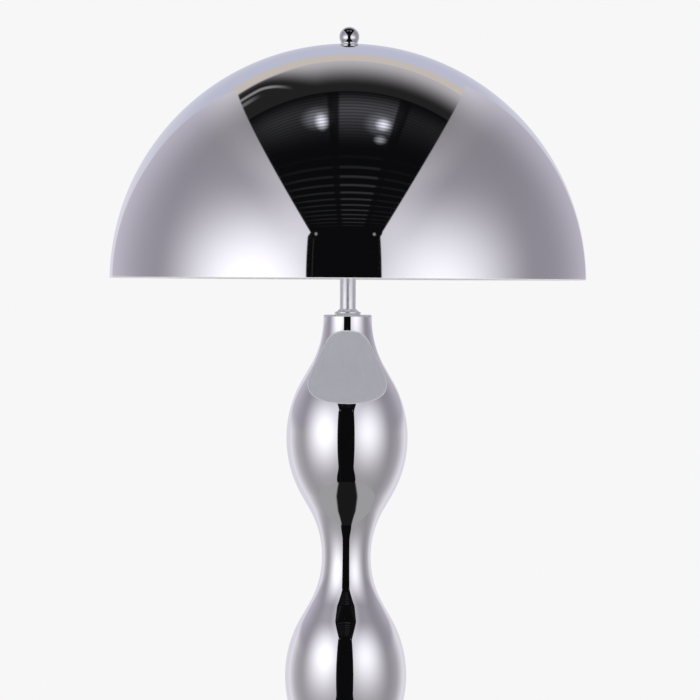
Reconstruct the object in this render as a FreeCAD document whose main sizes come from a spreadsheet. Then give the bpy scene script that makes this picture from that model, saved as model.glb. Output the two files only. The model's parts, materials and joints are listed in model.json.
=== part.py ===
import FreeCAD, Part
import Sketcher
import math
import os

# Mushroom floor lamp: a half-sphere metal shade on a column of five metal
# bubbles.  Millimetres, +Z up, origin on the floor under the column's axis.
# The front is -Y, the cord leaves at the back, +Y.

DRIVING = {
    # shade
    "ShadeRadius": 238,
    "ShadeWall": 1.2,
    "ShadeTrim": 3,
    "HemRadius": 1.6,
    "SeatRadius": 22,
    "SeatThickness": 4,
    "ShadeNutHeight": 5,
    # column of bubbles
    "BubbleRadius": 60.6,
    "WaistRadius": 24.3,
    "BubblePitch": 238,
    "BubbleCurve": 115,
    "LowerBubbles": 3,
    "UpperBubbles": 2,
    "ColumnWall": 1.2,
    "ColumnEnd": 6,
    "NeckEnd": 1,
    "SleeveLength": 40,
    "SleeveWall": 1.5,
    "SleeveWeb": 2,
    "SpigotDepth": 5,
    # neck, rod and the tube inside the column
    "NeckPlate": 3,
    "NeckEdge": 2,
    "CollarFoot": 12.4,
    "CollarRadius": 13.2,
    "CollarEdge": 2.6,
    "CollarHeight": 5.6,
    "CollarFlare": 7,
    "CollarWall": 0.6,
    "RodRadius": 8,
    "RodWall": 1.5,
    "RodExposed": 35.6,
    "InsertLength": 15,
    # hollow threaded rod that joins the tubes
    "ThreadRadius": 5,
    "ThreadBore": 3.5,
    "ThreadHold": 12,
    "ThreadStand": 1,
    "NutAcross": 14,
    "ThinNut": 3,
    # cluster of three lampholders
    "HubRise": 70,
    "HubRadius": 24,
    "HubHeight": 34,
    "HubFloor": 4,
    "HubAim": 7,
    "HubFlat": 26,
    "HubNipple": 4,
    "CavityRadius": 10.5,
    "PlugHeight": 5,
    "HolderTilt": 45,
    "HolderTurn": 90,
    "HolderNeck": 7.5,
    "HolderNeckHeight": 4,
    "HolderRadius": 14,
    "HolderWall": 1.5,
    "HolderCapHeight": 15,
    "HolderCapCurve": 10,
    "CoreDepth": 4,
    "CoreTop": 21,
    "SkirtTop": 50,
    "SocketBore": 7.3,
    "SocketWall": 0.7,
    "SocketTop": 45,
    # bulb: a 45 mm globe on a 14 mm screw cap
    "BulbSeat": 25,
    "GlobeRadius": 22.5,
    "GlobeCentre": 55.5,
    "GlobeJoin": 40,
    "GlassWall": 0.8,
    "GlassNeck": 6.3,
    "GlassNeckTop": 28,
    "GlassShoulder": 8.5,
    "GlassCurve": 14,
    "CapRoot": 6.25,
    "CapCrest": 6.95,
    "CapPitch": 2.82,
    "CapCrestWidth": 2,
    "CapThreads": 5,
    "CapThreadStart": 6.5,
    "CapCollar": 22,
    "CapTop": 24.5,
    "TipRadius": 2.6,
    "TipHeight": 1.5,
    # finial
    "FinialRadius": 10,
    "FinialFlat": 5.5,
    "FinialBore": 10,
    "FinialBoreGap": 0.75,
    "FinialWasher": 1.2,
    "FinialWasherRadius": 8.5,
    # base
    "BaseRadius": 150,
    "BaseTop": 22,
    "BaseEdge": 20,
    "BaseShoulder": 5,
    "BaseWall": 1.2,
    "BaseFlatRadius": 34,
    "FootRingRadius": 31,
    "FootRingHeight": 3,
    "FootRingEdge": 1,
    "PadHeight": 2,
    "PadBore": 46,
    "PadInset": 2,
    "WeightGap": 12,
    "WeightHeight": 14,
    "BossRadius": 32,
    "RecessRadius": 38,
    "RecessTop": 15,
    "ChannelWidth": 15,
    "ChannelTop": 13,
    "LidRadius": 43,
    "LidThickness": 1.5,
    "LidScrewCircle": 40.5,
    "LidScrewRadius": 1.2,
    "LidScrewLength": 7,
    "LidScrews": 3,
    # wiring
    "WasherRadius": 11,
    "WasherThickness": 1,
    "LeadRadius": 1.2,
    "LeadSpread": 1.35,
    "LeadBend": 5.3,
    "BlockDistance": 15,
    "BlockLength": 14,
    "BlockWidth": 17,
    "BlockFoot": 4.2,
    "BlockPort": 2,
    "BlockScrewRadius": 1.5,
    "BlockScrewSink": 1,
    "SpliceRadius": 5,
    "SpliceHeight": 12,
    "HolderLeadRadius": 1.1,
    "HolderLeadSpread": 1.7,
    "HolderLeadStart": 10,
    # cord entry
    "GlandHeight": 8.8,
    "GlandBore": 3.2,
    "GlandThread": 4.8,
    "GlandFlange": 6.2,
    "GlandFlangeHeight": 3,
    "GlandLip": 1,
    "GlandInside": 9,
    "GlandNutAcross": 12,
    "GlandNutHeight": 4,
    # clearances
    "FitGap": 0.05,
    "RunningGap": 0.08,
    "SwivelGap": 0.3,
}


class Size:
    """A number together with the expression that works it out in the document."""

    def __init__(self, value, text):
        self.value = value
        self.text = text

    def __add__(self, other):
        other = as_size(other)
        return Size(self.value + other.value, f"({self.text} + {other.text})")

    def __sub__(self, other):
        other = as_size(other)
        return Size(self.value - other.value, f"({self.text} - {other.text})")

    def __mul__(self, other):
        other = as_size(other)
        return Size(self.value * other.value, f"{self.text} * {other.text}")

    def __truediv__(self, other):
        other = as_size(other)
        return Size(self.value / other.value, f"{self.text} / ({other.text})")

    def __neg__(self):
        return Size(-self.value, f"(0 - {self.text})")

    __radd__ = __add__
    __rmul__ = __mul__

    def __rsub__(self, other):
        return as_size(other) - self

    def __rtruediv__(self, other):
        return as_size(other) / self


def as_size(value):
    return value if isinstance(value, Size) else Size(float(value), str(value))


def root(size):
    return Size(math.sqrt(size.value), f"sqrt({size.text})")


def sine(degrees):
    return Size(math.sin(math.radians(degrees.value)), f"sin({degrees.text})")


def cosine(degrees):
    return Size(math.cos(math.radians(degrees.value)), f"cos({degrees.text})")


def reach(radius, offset):
    """How far a circle of this radius reaches beside its centre line, at an offset along it."""
    return root(radius * radius - offset * offset)


class Levels:
    """Sheet of the heights and radii that several pieces share, as formulas on the sizes."""

    def __init__(self, document):
        self.sheet = document.addObject("Spreadsheet::Sheet", "Levels")
        self.rows = 0

    def add(self, name, size):
        self.rows += 1
        self.sheet.set(f"A{self.rows}", name)
        self.sheet.set(f"B{self.rows}", f"={size.text}")
        self.sheet.setAlias(f"B{self.rows}", name)
        return Size(size.value, f"Levels.{name}")


doc = FreeCAD.newDocument("MushroomLamp")
sizes = doc.addObject("Spreadsheet::Sheet", "Sizes")
for row, (name, value) in enumerate(DRIVING.items(), 1):
    sizes.set(f"A{row}", name)
    sizes.set(f"B{row}", str(value))
    sizes.setAlias(f"B{row}", name)
doc.recompute()


class Dimensions:
    """Dimensions().ShadeWall is the size kept under that alias in the sheet."""

    def __getattr__(self, name):
        return Size(float(sizes.get(name)), f"Sizes.{name}")


HOLDERS = 3
D = Dimensions()
levels = Levels(doc)
nodes = []


# ---------------------------------------------------------------- helpers

def node(piece, label):
    """Give a finished piece its name and keep it for export."""
    piece.Label = label
    nodes.append(piece)
    return piece


def bind(piece, **properties):
    """Tie properties of a piece to sizes; Placement_Base_z stands for Placement.Base.z."""
    for name, size in properties.items():
        piece.setExpression(name.replace("_", "."), as_size(size).text)
    return piece


class Arc:
    """An arc between the outline's points on either side; its centre is left if side is 1."""

    def __init__(self, radius, side):
        self.radius = as_size(radius)
        self.side = side

    def centre(self, start, end):
        chord = end - start
        depth = math.sqrt(max(self.radius.value ** 2 - chord.Length ** 2 / 4, 0))
        left = FreeCAD.Vector(-chord.y, chord.x, 0).normalize()
        return (start + end) / 2 + left * depth * self.side


def origin_plane(body, role):
    return next(item for item in body.Origin.OriginFeatures if item.Role == role)


def new_sketch(body, role, name):
    sketch = body.newObject("Sketcher::SketchObject", name)
    sketch.AttachmentSupport = [(origin_plane(body, role), "")]
    sketch.MapMode = "FlatFace"
    return sketch


def fix_point(sketch, geometry, end, across, up):
    """Dimension one end of a sketch element from the sketch's origin."""
    for kind, size in (("DistanceX", across), ("DistanceY", up)):
        size = as_size(size)
        index = sketch.addConstraint(Sketcher.Constraint(kind, -1, 1, geometry, end, size.value))
        sketch.setExpression(f"Constraints[{index}]", size.text)


def draw_outline(sketch, outline):
    """Draw a closed outline of (across, up) points, straight or with an Arc between two."""
    points = []
    arcs = {}
    for item in outline:
        if isinstance(item, Arc):
            arcs[len(points) - 1] = item
        else:
            points.append(item)
    places = [FreeCAD.Vector(as_size(x).value, as_size(y).value, 0) for x, y in points]
    ends = []
    for index, start in enumerate(places):
        end = places[(index + 1) % len(places)]
        arc = arcs.get(index)
        if arc is None:
            ends.append((sketch.addGeometry(Part.LineSegment(start, end)), 1, 2))
            continue
        centre = arc.centre(start, end)
        first, last = (start, end) if arc.side > 0 else (end, start)
        angles = [math.atan2(place.y - centre.y, place.x - centre.x) for place in (first, last)]
        circle = Part.Circle(centre, FreeCAD.Vector(0, 0, 1), arc.radius.value)
        geometry = sketch.addGeometry(Part.ArcOfCircle(circle, *angles))
        ends.append((geometry, 1, 2) if arc.side > 0 else (geometry, 2, 1))
        radius = Sketcher.Constraint("Radius", geometry, arc.radius.value)
        sketch.setExpression(f"Constraints[{sketch.addConstraint(radius)}]", arc.radius.text)
    for index, (geometry, _, finish) in enumerate(ends):
        following, begin, _ = ends[(index + 1) % len(ends)]
        sketch.addConstraint(Sketcher.Constraint("Coincident", geometry, finish, following, begin))
    for (geometry, begin, _), (across, up) in zip(ends, points):
        fix_point(sketch, geometry, begin, across, up)


def draw_circle(sketch, across, up, radius):
    across, up = as_size(across), as_size(up)
    centre = FreeCAD.Vector(across.value, up.value, 0)
    circle = sketch.addGeometry(Part.Circle(centre, FreeCAD.Vector(0, 0, 1), radius.value))
    index = sketch.addConstraint(Sketcher.Constraint("Radius", circle, radius.value))
    sketch.setExpression(f"Constraints[{index}]", radius.text)
    fix_point(sketch, circle, 3, across, up)


def turned(name, outline):
    """A body turned about the Z axis from an outline of (radius, height) points."""
    body = doc.addObject("PartDesign::Body", name)
    sketch = new_sketch(body, "XZ_Plane", f"{name}_profile")
    draw_outline(sketch, outline)
    turn = body.newObject("PartDesign::Revolution", f"{name}_turn")
    turn.Profile = sketch
    turn.ReferenceAxis = (sketch, ["V_Axis"])
    turn.Angle = 360
    return body


def ring(name, inner, outer, bottom, top):
    return turned(name, [(inner, bottom), (outer, bottom), (outer, top), (inner, top)])


def disc(name, radius, bottom, top):
    return ring(name, 0, radius, bottom, top)


def cylinder(name, radius, height):
    piece = doc.addObject("Part::Cylinder", name)
    return bind(piece, Radius=radius, Height=height)


def cut(name, base, tool):
    piece = doc.addObject("Part::Cut", name)
    piece.Base = base
    piece.Tool = tool
    return piece


def group(name, pieces):
    compound = doc.addObject("Part::Compound", name)
    compound.Links = pieces
    return compound


def fused(name, pieces):
    fusion = doc.addObject("Part::MultiFuse", name)
    fusion.Shapes = pieces
    return fusion


def hex_nut(name, across, bore, bottom, height):
    """A hexagonal nut standing on the given height, flats the given width apart."""
    prism = doc.addObject("Part::Prism", f"{name}_hexagon")
    prism.Polygon = 6
    bind(prism, Circumradius=across / root(as_size(3)), Height=height, Placement_Base_z=bottom)
    hole = bind(cylinder(f"{name}_bore", bore, height), Placement_Base_z=bottom)
    return cut(name, prism, hole)


def aim(piece, index):
    """Stand a piece made along Z where the lampholders' axes meet, leaning out to one of them."""
    turn = D.HolderTurn + 360 / HOLDERS * index
    foot = f"vector(0; 0; {aim_height.text})"
    lean = f"rotation({turn.text}; {D.HolderTilt.text}; 0)"
    piece.setExpression("Placement", f"placement({foot}; {lean})")
    return piece


# ---------------------------------------------------------------- shared levels

base_top = D.BaseTop
column_foot = levels.add("ColumnFoot", base_top + D.FootRingHeight)
first_waist = levels.add("FirstWaist", column_foot + D.ColumnEnd)
joint_height = levels.add("JointHeight", first_waist + D.LowerBubbles * D.BubblePitch)
last_waist = levels.add("LastWaist", joint_height + D.UpperBubbles * D.BubblePitch)
column_top = levels.add("ColumnTop", last_waist + D.NeckEnd)
neck_top = levels.add("NeckTop", column_top + D.NeckPlate)
rim_height = levels.add("RimHeight", neck_top + D.RodExposed)
dome_centre = levels.add("DomeCentre", rim_height - D.ShadeTrim)
hub_centre = levels.add("HubCentre", rim_height + D.HubRise)
hub_bottom = levels.add("HubBottom", hub_centre - D.HubHeight / 2)
hub_top = levels.add("HubTop", hub_centre + D.HubHeight / 2)
aim_height = levels.add("AimHeight", hub_centre - D.HubAim)
seat_radius = levels.add("SeatSphere", D.ShadeRadius - D.ShadeWall - D.SwivelGap)
seat_bottom = levels.add("SeatBottom", dome_centre + seat_radius - D.SeatThickness)
washer_bottom = levels.add("WasherBottom", dome_centre + D.ShadeRadius + D.SwivelGap)
finial_bottom = levels.add("FinialBottom", washer_bottom + D.FinialWasher)
thread_hole = levels.add("ThreadHole", D.ThreadRadius + D.FitGap)
swivel_hole = levels.add("SwivelHole", D.ThreadRadius + D.SwivelGap)
running_hole = levels.add("RunningHole", D.ThreadRadius + D.RunningGap)
neck_bore = levels.add("NeckBore", D.WaistRadius - D.ColumnWall)
spigot_radius = levels.add("SpigotRadius", neck_bore - D.FitGap)
rod_bore = levels.add("RodBore", D.RodRadius - D.RodWall)
bubble_depth = levels.add("BubbleDepth", D.BubbleRadius - D.WaistRadius)
both_curves = levels.add(
    "BothCurves",
    (bubble_depth * bubble_depth + D.BubblePitch * D.BubblePitch / 4) / (bubble_depth * 2),
)
waist_curve = levels.add("WaistCurve", both_curves - D.BubbleCurve)
waist_share = levels.add("WaistShare", waist_curve / both_curves)
meeting_radius = levels.add("MeetingRadius", D.WaistRadius + bubble_depth * waist_share)
meeting_height = levels.add("MeetingHeight", D.BubblePitch / 2 * waist_share)
lean_in = levels.add("LeanIn", D.ColumnWall * (1 - bubble_depth / both_curves))
lean_up = levels.add("LeanUp", D.ColumnWall * D.BubblePitch / (both_curves * 2))
weight_radius = levels.add("WeightRadius", D.BaseRadius - D.WeightGap)
base_nut_bottom = levels.add("BaseNutBottom", D.RecessTop - D.WasherThickness - D.ThinNut)
base_thread_end = levels.add("BaseThreadEnd", base_nut_bottom - D.ThreadStand / 2)
splice_foot = levels.add("SpliceFoot", hub_bottom + D.HubFloor + D.ThreadStand + D.FitGap)


# ---------------------------------------------------------------- base

def make_foot_pad():
    outer = weight_radius - D.PadInset
    node(ring("FootPad", D.PadBore, outer, 0, D.PadHeight), "foot_pad")


def make_base_weight():
    """Cast plate with a raised boss, a wiring recess below and a channel to the back."""
    top = D.PadHeight + D.WeightHeight
    boss_top = base_top - D.BaseWall
    ledge = D.PadHeight + D.LidThickness
    body = turned("BaseWeight", [
        (thread_hole, D.RecessTop), (D.RecessRadius, D.RecessTop), (D.RecessRadius, ledge),
        (D.LidRadius + D.SwivelGap, ledge), (D.LidRadius + D.SwivelGap, D.PadHeight),
        (weight_radius, D.PadHeight), (weight_radius, top), (D.RecessRadius, top),
        (D.BossRadius, boss_top), (thread_hole, boss_top),
    ])
    channel = new_sketch(body, "XY_Plane", "BaseWeight_channel")
    half = D.ChannelWidth / 2
    draw_outline(channel, [
        (-half, 0), (half, 0), (half, D.BaseRadius), (-half, D.BaseRadius),
    ])
    slot = body.newObject("PartDesign::Pocket", "BaseWeight_slot")
    slot.Profile = channel
    slot.Reversed = True
    bind(slot, Length=D.ChannelTop)
    screw_holes = new_sketch(body, "XY_Plane", "BaseWeight_screw_hole")
    draw_circle(screw_holes, 0, -D.LidScrewCircle, D.LidScrewRadius + D.FitGap)
    hole = body.newObject("PartDesign::Pocket", "BaseWeight_screw_pocket")
    hole.Profile = screw_holes
    hole.Reversed = True
    bind(hole, Length=ledge + D.LidScrewLength)
    pattern = body.newObject("PartDesign::PolarPattern", "BaseWeight_screw_pattern")
    pattern.Originals = [hole]
    pattern.Axis = (screw_holes, ["N_Axis"])
    pattern.Angle = 360
    bind(pattern, Occurrences=D.LidScrews)
    body.Tip = pattern
    node(body, "base_weight")


def make_base_cover():
    """Spun dish over the weight, with a low crown and a round shoulder."""
    wall = D.BaseWall
    inside = D.BaseRadius - wall
    shoulder = D.BaseShoulder
    edge = D.BaseEdge
    rise = base_top - edge
    run = D.BaseRadius - shoulder - D.BaseFlatRadius
    crown = (run * run + rise * rise) / (rise * 2)
    body = turned("BaseCover", [
        (thread_hole, base_top - wall), (D.BaseFlatRadius, base_top - wall),
        Arc(crown - wall, -1), (D.BaseRadius - shoulder, edge - wall),
        Arc(shoulder - wall, -1), (inside, edge - shoulder),
        (inside, D.PadHeight), (D.BaseRadius, D.PadHeight),
        (D.BaseRadius, edge - shoulder), Arc(shoulder, 1), (D.BaseRadius - shoulder, edge),
        Arc(crown, 1), (D.BaseFlatRadius, base_top), (thread_hole, base_top),
    ])
    entry = lay_back(disc("BaseCover_entry", D.GlandThread + D.FitGap, -D.GlandInside, 0))
    node(cut("BaseCover_drilled", body, entry), "base_cover")


def lay_back(piece):
    """Turn a piece made along +Z so that it points out of the back wall."""
    piece.Placement.Rotation = FreeCAD.Rotation(FreeCAD.Vector(1, 0, 0), -90)
    return bind(piece, Placement_Base_y=D.BaseRadius, Placement_Base_z=D.GlandHeight)


def make_gland():
    """Flanged bush through the back wall, held from inside by a nut."""
    inside = -(D.BaseWall + D.GlandInside)
    gland = turned("CableGland", [
        (D.GlandBore, inside), (D.GlandThread, inside), (D.GlandThread, 0), (D.GlandFlange, 0),
        (D.GlandFlange, D.GlandFlangeHeight - D.GlandLip), Arc(D.GlandLip, 1),
        (D.GlandFlange - D.GlandLip, D.GlandFlangeHeight), (D.GlandBore, D.GlandFlangeHeight),
    ])
    node(lay_back(gland), "cable_gland")
    corner = D.GlandNutAcross / root(as_size(3))
    seat = reach(D.BaseRadius - D.BaseWall, corner) - D.BaseRadius
    nut = hex_nut("GlandNut", D.GlandNutAcross, D.GlandThread + D.FitGap,
                  seat - D.GlandNutHeight, D.GlandNutHeight)
    node(lay_back(nut), "gland_nut")


def make_terminal_block():
    """Two-way block hung from the recess ceiling, its clamp screws reached from below."""
    block = doc.addObject("Part::Box", "TerminalBlock_body")
    bind(block, Length=D.BlockWidth, Width=D.BlockLength, Height=D.RecessTop - D.BlockFoot,
         Placement_Base_x=-D.BlockWidth / 2, Placement_Base_y=D.BlockDistance,
         Placement_Base_z=D.BlockFoot)
    cuts = []
    screws = []
    for side, across in (("left", -D.BlockWidth / 4), ("right", D.BlockWidth / 4)):
        port = cylinder(f"TerminalBlock_{side}_port", D.BlockPort, D.BlockLength / 2)
        port.Placement.Rotation = FreeCAD.Rotation(FreeCAD.Vector(1, 0, 0), -90)
        bind(port, Placement_Base_x=across, Placement_Base_y=D.BlockDistance + D.BlockLength / 2,
             Placement_Base_z=D.GlandHeight)
        well = cylinder(f"TerminalBlock_{side}_well", D.BlockScrewRadius + D.FitGap,
                        D.GlandHeight - D.BlockFoot)
        screw = cylinder(f"TerminalScrew_{side}", D.BlockScrewRadius,
                         D.GlandHeight - D.BlockFoot - D.BlockScrewSink - D.BlockPort)
        middle = D.BlockDistance + D.BlockLength * 3 / 4
        bind(well, Placement_Base_x=across, Placement_Base_y=middle, Placement_Base_z=D.BlockFoot)
        bind(screw, Placement_Base_x=across, Placement_Base_y=middle,
             Placement_Base_z=D.BlockFoot + D.BlockScrewSink)
        cuts += [port, well]
        screws.append(screw)
    node(cut("TerminalBlock", block, fused("TerminalBlock_cuts", cuts)), "terminal_block")
    node(group("TerminalScrews", screws), "terminal_screws")


def make_terminal_cover():
    """Steel lid let into the underside of the weight, with its screws."""
    lid_top = D.PadHeight + D.LidThickness
    lid = disc("TerminalCover_disc", D.LidRadius, D.PadHeight, lid_top)
    holes = []
    screws = []
    for index in range(int(D.LidScrews.value)):
        spot = index * 360 / D.LidScrews - 90
        hole = cylinder(f"TerminalCover_hole_{index + 1}", D.LidScrewRadius + D.FitGap,
                        D.LidThickness)
        screw = cylinder(f"TerminalCoverScrew_{index + 1}", D.LidScrewRadius,
                         D.LidThickness + D.LidScrewLength)
        for piece in (hole, screw):
            bind(piece, Placement_Base_x=D.LidScrewCircle * cosine(spot),
                 Placement_Base_y=D.LidScrewCircle * sine(spot), Placement_Base_z=D.PadHeight)
        holes.append(hole)
        screws.append(screw)
    node(cut("TerminalCover", lid, fused("TerminalCover_holes", holes)), "terminal_cover")
    node(group("TerminalCoverScrews", screws), "terminal_cover_screws")


def make_foot():
    """Foot ring under the column and the threaded rod, washer and nut that clamp it down."""
    edge = D.FootRingRadius - D.FootRingEdge
    node(turned("FootRing", [
        (thread_hole, base_top), (D.FootRingRadius, base_top),
        (D.FootRingRadius, column_foot - D.FootRingEdge), Arc(D.FootRingEdge, 1),
        (edge, column_foot), (spigot_radius, column_foot),
        (spigot_radius, column_foot + D.SpigotDepth), (thread_hole, column_foot + D.SpigotDepth),
    ]), "foot_ring")
    washer = D.RecessTop - D.WasherThickness
    node(ring("BaseWasher", thread_hole, D.WasherRadius, washer, D.RecessTop), "base_washer")
    node(hex_nut("BaseNut", D.NutAcross, thread_hole, base_nut_bottom, D.ThinNut), "base_nut")
    top = column_foot + D.SpigotDepth + D.ThreadHold
    node(ring("BaseNipple", D.ThreadBore, D.ThreadRadius, base_thread_end, top), "base_nipple")


# ---------------------------------------------------------------- column

def bubble_side(start, count, wall_in, wall_up, shrink):
    """Points up one side of a run of bubbles: waist and bulge arcs that meet in one slope."""
    points = []
    radius = meeting_radius - wall_in
    rise = meeting_height + wall_up
    for index in range(count):
        waist = start + index * D.BubblePitch
        following = waist + D.BubblePitch
        points += [
            Arc(waist_curve + shrink, -1), (radius, waist + rise),
            Arc(D.BubbleCurve - shrink, 1), (D.BubbleRadius - shrink, waist + D.BubblePitch / 2),
            Arc(D.BubbleCurve - shrink, 1), (radius, following - rise),
            Arc(waist_curve + shrink, -1), (D.WaistRadius - shrink, following),
        ]
    return points


def column(name, bottom, start, count, top):
    """A run of bubbles with one wall, with straight ends where top and bottom go past the waists."""
    outside = [(D.WaistRadius, start)]
    outside += bubble_side(start, count, 0, 0, 0)
    inside = [(neck_bore, start)]
    inside += bubble_side(start, count, lean_in, lean_up, D.ColumnWall)
    if bottom is not start:
        outside.insert(0, (D.WaistRadius, bottom))
        inside.insert(0, (neck_bore, bottom))
    if top is not None:
        outside.append((D.WaistRadius, top))
        inside.append((neck_bore, top))
    back = [Arc(item.radius, -item.side) if isinstance(item, Arc) else item
            for item in reversed(inside)]
    return turned(name, outside + back)


def make_column():
    lower = int(D.LowerBubbles.value)
    upper = int(D.UpperBubbles.value)
    node(column("LowerColumn", column_foot, first_waist, lower, None), "lower_column")
    node(column("UpperColumn", joint_height, joint_height, upper, column_top), "upper_column")
    half = D.SleeveLength / 2
    bore = spigot_radius - D.SleeveWall
    web = D.SleeveWeb / 2
    node(turned("JointSleeve", [
        (bore, joint_height - half), (spigot_radius, joint_height - half),
        (spigot_radius, joint_height + half), (bore, joint_height + half),
        (bore, joint_height + web), (thread_hole, joint_height + web),
        (thread_hole, joint_height - web), (bore, joint_height - web),
    ]), "joint_sleeve")


def make_tubes():
    """Steel tube inside the column in two lengths, the rod above it, and what joins them."""
    foot = column_foot + D.SpigotDepth
    web = D.SleeveWeb / 2
    head = column_top - D.SpigotDepth
    runs = (
        ("inner_tube_lower", foot, joint_height - web),
        ("inner_tube_upper", joint_height + web, head),
        ("rod", neck_top, hub_bottom),
    )
    inserts = []
    for name, bottom, top in runs:
        node(ring(f"{name}_tube", rod_bore, D.RodRadius, bottom, top), name)
        for end, low, high in (("foot", bottom, bottom + D.InsertLength),
                               ("head", top - D.InsertLength, top)):
            inserts.append(ring(f"Insert_{name}_{end}", thread_hole, rod_bore - D.FitGap, low, high))
    node(group("ThreadedInserts", inserts), "threaded_inserts")
    spans = (
        (joint_height - web - D.ThreadHold, joint_height + web + D.ThreadHold),
        (head - D.ThreadHold, neck_top + D.ThreadHold),
        (hub_bottom - D.ThreadHold, hub_bottom + D.HubFloor + D.ThreadStand),
    )
    nipples = [ring(f"TubeNipple_{index}", D.ThreadBore, D.ThreadRadius, low, high)
               for index, (low, high) in enumerate(spans, 1)]
    node(group("TubeNipples", nipples), "tube_nipples")


def make_neck():
    """Cap on the top neck and the flared collar round the rod's foot."""
    edge = D.NeckEdge
    node(turned("NeckCap", [
        (thread_hole, column_top - D.SpigotDepth), (spigot_radius, column_top - D.SpigotDepth),
        (spigot_radius, column_top), (D.WaistRadius, column_top),
        (D.WaistRadius, neck_top - edge), Arc(edge, 1),
        (D.WaistRadius - edge, neck_top), (thread_hole, neck_top),
    ]), "neck_cap")
    bore = D.RodRadius + D.FitGap
    node(turned("RodCollar", [
        (bore, neck_top), (D.CollarFoot, neck_top), (D.CollarRadius, neck_top + D.CollarEdge),
        Arc(D.CollarFlare, -1), (bore + D.CollarWall, neck_top + D.CollarHeight),
        (bore, neck_top + D.CollarHeight),
    ]), "rod_collar")


# ---------------------------------------------------------------- lampholders and bulbs

def make_hub():
    """Hollow turned body with three sloping flats, one for each lampholder, and its top plug."""
    cavity_top = hub_top - D.PlugHeight
    body = turned("ClusterBody_turned", [
        (thread_hole, hub_bottom), (D.HubRadius, hub_bottom), (D.HubRadius, hub_top),
        (D.CavityRadius, hub_top), (D.CavityRadius, hub_bottom + D.HubFloor),
        (thread_hole, hub_bottom + D.HubFloor),
    ])
    cutters = []
    for index in range(HOLDERS):
        cutter = turned(f"ClusterBody_cutter_{index + 1}", [
            (0, D.CavityRadius), (thread_hole, D.CavityRadius), (thread_hole, D.HubFlat),
            (D.HubRadius, D.HubFlat), (D.HubRadius, D.HubFlat * 2), (0, D.HubFlat * 2),
        ])
        cutters.append(aim(cutter, index))
    node(cut("ClusterBody", body, fused("ClusterBody_cutters", cutters)), "cluster_body")
    node(ring("ClusterPlug", thread_hole, D.CavityRadius - D.FitGap, cavity_top, hub_top),
         "cluster_plug")
    node(disc("SpliceCap", D.SpliceRadius, splice_foot, splice_foot + D.SpliceHeight),
         "splice_cap")


def holder_cap(name):
    """Bell-shaped lower half of a lampholder, from the hub's flat outward."""
    start = D.HubFlat
    rim = start + D.HolderCapHeight
    core = rim - D.CoreDepth
    inside = D.HolderRadius - D.HolderWall
    return turned(name, [
        (thread_hole, start), (D.HolderNeck, start), (D.HolderNeck, start + D.HolderNeckHeight),
        Arc(D.HolderCapCurve, -1), (D.HolderRadius, core), (D.HolderRadius, rim), (inside, rim),
        (inside, core), (thread_hole, start + D.HolderNeckHeight),
    ])


def holder_skirt(name):
    """Outer shell that covers the socket, open towards the bulb."""
    bottom = D.HubFlat + D.HolderCapHeight
    return ring(name, D.HolderRadius - D.HolderWall, D.HolderRadius, bottom, D.HubFlat + D.SkirtTop)


def holder_core(name):
    """Ceramic block that carries the socket shell and the contact."""
    radius = D.HolderRadius - D.HolderWall - D.SwivelGap
    bottom = D.HubFlat + D.HolderCapHeight - D.CoreDepth
    return disc(name, radius, bottom, D.HubFlat + D.CoreTop)


def holder_thread(name):
    outer = D.SocketBore + D.SocketWall
    return ring(name, D.SocketBore, outer, D.HubFlat + D.CoreTop, D.HubFlat + D.SocketTop)


def bulb_glass(name):
    """Globe with a waisted neck that sits in the screw cap."""
    seat = D.HubFlat + D.BulbSeat
    wall = D.GlassWall
    centre = seat + D.GlobeCentre
    inner = D.GlobeRadius - wall
    across = sine(D.GlobeJoin)
    along = cosine(D.GlobeJoin)
    neck = D.GlassNeck - D.FitGap
    shoulder = seat + D.GlassNeckTop
    return turned(name, [
        (neck - wall, seat + D.CapCollar), (neck, seat + D.CapCollar), (neck, seat + D.CapTop),
        (D.GlassShoulder, shoulder), Arc(D.GlassCurve, -1),
        (D.GlobeRadius * across, centre - D.GlobeRadius * along),
        Arc(D.GlobeRadius, 1), (0, centre + D.GlobeRadius), (0, centre + inner),
        Arc(inner, -1), (inner * across, centre - inner * along), Arc(D.GlassCurve + wall, 1),
        (D.GlassShoulder - wall, shoulder), (neck - wall, seat + D.CapTop),
    ])


def bulb_cap(name):
    """Screw cap: insulator cone, rolled thread and a collar round the glass."""
    seat = D.HubFlat + D.BulbSeat
    height = D.CapCrest - D.CapRoot
    half = D.CapCrestWidth / 2
    crest = (half * half + height * height) / (height * 2)
    outline = [(0, seat + D.TipHeight), (D.TipRadius, seat + D.TipHeight),
               (D.CapRoot, seat + D.CapThreadStart - half)]
    for index in range(int(D.CapThreads.value)):
        low = seat + D.CapThreadStart + index * D.CapPitch
        outline += [(D.CapRoot, low), Arc(crest, 1), (D.CapRoot, low + D.CapCrestWidth)]
    outline += [(D.CapRoot, seat + D.CapCollar - half), (D.CapCrest, seat + D.CapCollar),
                (D.CapCrest, seat + D.CapTop), (D.GlassNeck, seat + D.CapTop),
                (D.GlassNeck, seat + D.CapCollar), (0, seat + D.CapCollar)]
    return turned(name, outline)


def bulb_tip(name):
    seat = D.HubFlat + D.BulbSeat
    return disc(name, D.TipRadius - D.FitGap, seat, seat + D.TipHeight)


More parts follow.
